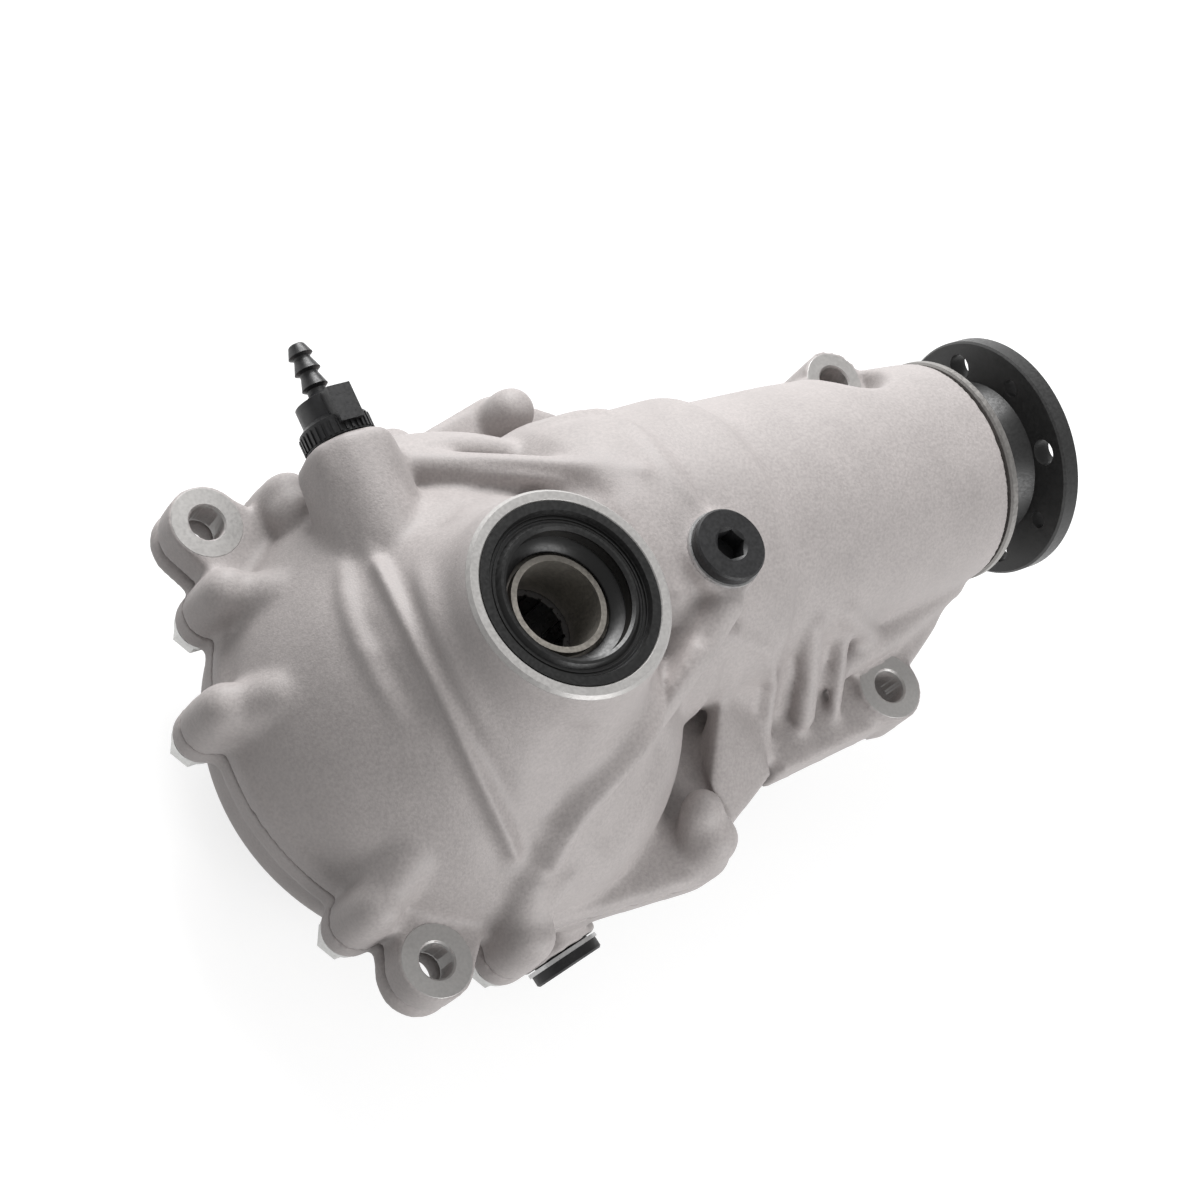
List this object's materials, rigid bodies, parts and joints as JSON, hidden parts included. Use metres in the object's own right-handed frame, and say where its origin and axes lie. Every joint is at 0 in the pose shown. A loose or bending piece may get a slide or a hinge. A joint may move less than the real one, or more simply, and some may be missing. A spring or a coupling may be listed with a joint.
{
  "type": "front axle differential",
  "caption": "Front axle differential in a cast housing with hypoid ring gear and pinion, bevel gear set, taper bearings, input flange and two splined outputs.",
  "frame": {"origin": "on the axle line, at the end face of the cover's hub spigot", "axes": "+Z along the axle line out of the right output, +X along the pinion line towards the input flange, +Y towards the breather"},
  "size_m": [0.3615, 0.225, 0.158],
  "materials": {
    "cast_housing": "blasted cast aluminium with machined faces",
    "cast_cover": "blasted cast aluminium with machined faces",
    "zinc_steel": "zinc plated",
    "bright_steel": "ground",
    "gear_steel": "case hardened and lapped",
    "case_iron": "machined nodular iron",
    "phosphated_steel": "phosphated",
    "black_steel": "black phosphated forging with a satin rim",
    "rubber": "moulded",
    "washer_aluminium": "turned",
    "black_plastic": "moulded glass-filled nylon",
    "bronze": "rolled bronze",
    "cage_steel": "pressed"
  },
  "bodies": {
    "housing": {"main_housing": "cast_housing", "side_cover": "cast_cover", "cover_bolts": "zinc_steel", "dowel_sleeves": "bright_steel", "hub_o_ring": "rubber", "right_output_seal": "rubber", "left_output_seal": "rubber", "pinion_seal": "rubber", "seal_springs": "bright_steel", "filler_plug": "phosphated_steel", "filler_plug_washer": "washer_aluminium", "drain_plug": "phosphated_steel", "drain_plug_washer": "washer_aluminium", "breather_body": "black_plastic", "breather_collar": "black_plastic", "breather_o_ring": "rubber", "right_case_shim": "bright_steel", "left_case_shim": "bright_steel", "right_case_cup": "bright_steel", "left_case_cup": "bright_steel", "head_cup": "bright_steel", "tail_cup": "bright_steel"},
    "carrier": {"differential_case": "case_iron", "ring_gear": "gear_steel", "ring_gear_bolts": "phosphated_steel", "cross_pin": "bright_steel", "cross_pin_lock": "bright_steel", "side_gear_washers": "bronze", "planet_washers": "bronze", "right_case_cone": "bright_steel", "left_case_cone": "bright_steel"},
    "pinion": {"drive_pinion": "gear_steel", "pinion_shim": "bright_steel", "crush_sleeve": "bright_steel", "head_cone": "bright_steel", "tail_cone": "bright_steel", "input_flange": "black_steel", "pinion_nut": "phosphated_steel", "dust_shield": "zinc_steel"},
    "right_side_gear": {"right_side_gear": "gear_steel"},
    "left_side_gear": {"left_side_gear": "gear_steel"},
    "upper_planet_gear": {"upper_planet_gear": "gear_steel"},
    "lower_planet_gear": {"lower_planet_gear": "gear_steel"},
    "right_case_cage_set": {"right_case_rollers": "bright_steel", "right_case_cage": "cage_steel"},
    "left_case_cage_set": {"left_case_rollers": "bright_steel", "left_case_cage": "cage_steel"},
    "head_cage_set": {"head_rollers": "bright_steel", "head_cage": "cage_steel"},
    "tail_cage_set": {"tail_rollers": "bright_steel", "tail_cage": "cage_steel"}
  },
  "joints": [
    {"name": "case_spin", "type": "hinge", "parent": "housing", "child": "carrier", "pos_m": [0, 0, 0.079], "axis": [0, 0, 1], "continuous": true},
    {"name": "pinion_spin", "type": "hinge", "parent": "housing", "child": "pinion", "pos_m": [0.15, 0.022, 0.08], "axis": [1, 0, 0], "continuous": true},
    {"name": "right_side_gear_spin", "type": "hinge", "parent": "carrier", "child": "right_side_gear", "pos_m": [0, 0, 0.079], "axis": [0, 0, 1], "continuous": true},
    {"name": "left_side_gear_spin", "type": "hinge", "parent": "carrier", "child": "left_side_gear", "pos_m": [0, 0, 0.079], "axis": [0, 0, 1], "continuous": true},
    {"name": "upper_planet_gear_spin", "type": "hinge", "parent": "carrier", "child": "upper_planet_gear", "pos_m": [0, 0.03, 0.079], "axis": [0, 1, 0], "continuous": true},
    {"name": "lower_planet_gear_spin", "type": "hinge", "parent": "carrier", "child": "lower_planet_gear", "pos_m": [0, -0.03, 0.079], "axis": [0, 1, 0], "continuous": true},
    {"name": "right_case_bearing_spin", "type": "hinge", "parent": "housing", "child": "right_case_cage_set", "pos_m": [0, 0, 0.135], "axis": [0, 0, 1], "continuous": true},
    {"name": "left_case_bearing_spin", "type": "hinge", "parent": "housing", "child": "left_case_cage_set", "pos_m": [0, 0, 0.023], "axis": [0, 0, 1], "continuous": true},
    {"name": "head_bearing_spin", "type": "hinge", "parent": "housing", "child": "head_cage_set", "pos_m": [0.085, 0.022, 0.08], "axis": [1, 0, 0], "continuous": true},
    {"name": "tail_bearing_spin", "type": "hinge", "parent": "housing", "child": "tail_cage_set", "pos_m": [0.205, 0.022, 0.08], "axis": [1, 0, 0], "continuous": true}
  ],
  "couplings": [
    {"joint": "pinion_spin", "follows": "case_spin", "ratio": 3.7273},
    {"joint": "left_side_gear_spin", "follows": "right_side_gear_spin", "ratio": -1},
    {"joint": "upper_planet_gear_spin", "follows": "right_side_gear_spin", "ratio": -1.4},
    {"joint": "lower_planet_gear_spin", "follows": "right_side_gear_spin", "ratio": 1.4},
    {"joint": "right_case_bearing_spin", "follows": "case_spin", "ratio": 0.43},
    {"joint": "left_case_bearing_spin", "follows": "case_spin", "ratio": 0.43},
    {"joint": "head_bearing_spin", "follows": "case_spin", "ratio": 1.6027},
    {"joint": "tail_bearing_spin", "follows": "case_spin", "ratio": 1.6027}
  ]
}
